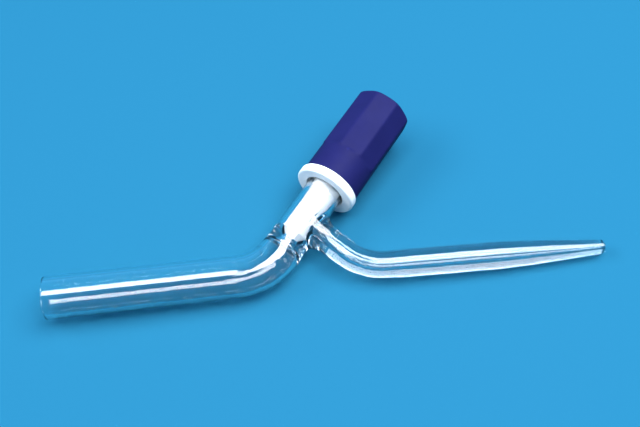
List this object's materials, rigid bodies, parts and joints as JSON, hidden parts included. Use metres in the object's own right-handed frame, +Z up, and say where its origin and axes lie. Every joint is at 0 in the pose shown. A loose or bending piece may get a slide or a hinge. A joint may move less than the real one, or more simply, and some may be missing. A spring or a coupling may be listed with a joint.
{
  "type": "burette stopcock",
  "caption": "Glass burette stopcock with a screw-operated white needle spindle, a wide inlet tube and a drawn jet, lying on its side.",
  "frame": {"origin": "middle of the footprint, on the surface that the part lies on", "axes": "+X along the outlet tube towards the jet, +Y across it towards the knob, +Z up; the part lies on its side, on the inlet tube, the outlet tube and the locking ring"},
  "size_m": [0.1734, 0.0699, 0.0241],
  "materials": {
    "clear_glass": "clear blown borosilicate glass",
    "white_fluoropolymer": "waxy turned white fluoropolymer",
    "black_elastomer": "matt black elastomer",
    "blue_plastic": "moulded dark blue-violet plastic, satin",
    "white_plastic": "moulded white plastic, satin",
    "stainless_steel": "pressed stainless steel"
  },
  "bodies": {
    "body": {"glass_body": "clear_glass"},
    "spindle": {"spindle": "white_fluoropolymer", "seal_ring_lower": "black_elastomer", "seal_ring_upper": "black_elastomer", "thrust_washer": "stainless_steel", "spindle_clip": "stainless_steel"},
    "knob": {"knob": "blue_plastic", "locking_ring": "white_plastic", "knob_cap": "blue_plastic"}
  },
  "joints": [
    {"name": "spindle_travel", "type": "slide", "parent": "body", "child": "spindle", "axis": [0.6257, 0.7723, 0.1092], "range_m": [0, 0.0075]},
    {"name": "knob_turn", "type": "hinge", "parent": "spindle", "child": "knob", "pos_m": [0.01176, 0.01346, 0.0121], "axis": [0.6257, 0.7723, 0.1092], "range_deg": [0, 1080]}
  ],
  "couplings": [
    {"joint": "knob_turn", "follows": "spindle_travel", "rad_per_m": 2513.3}
  ]
}
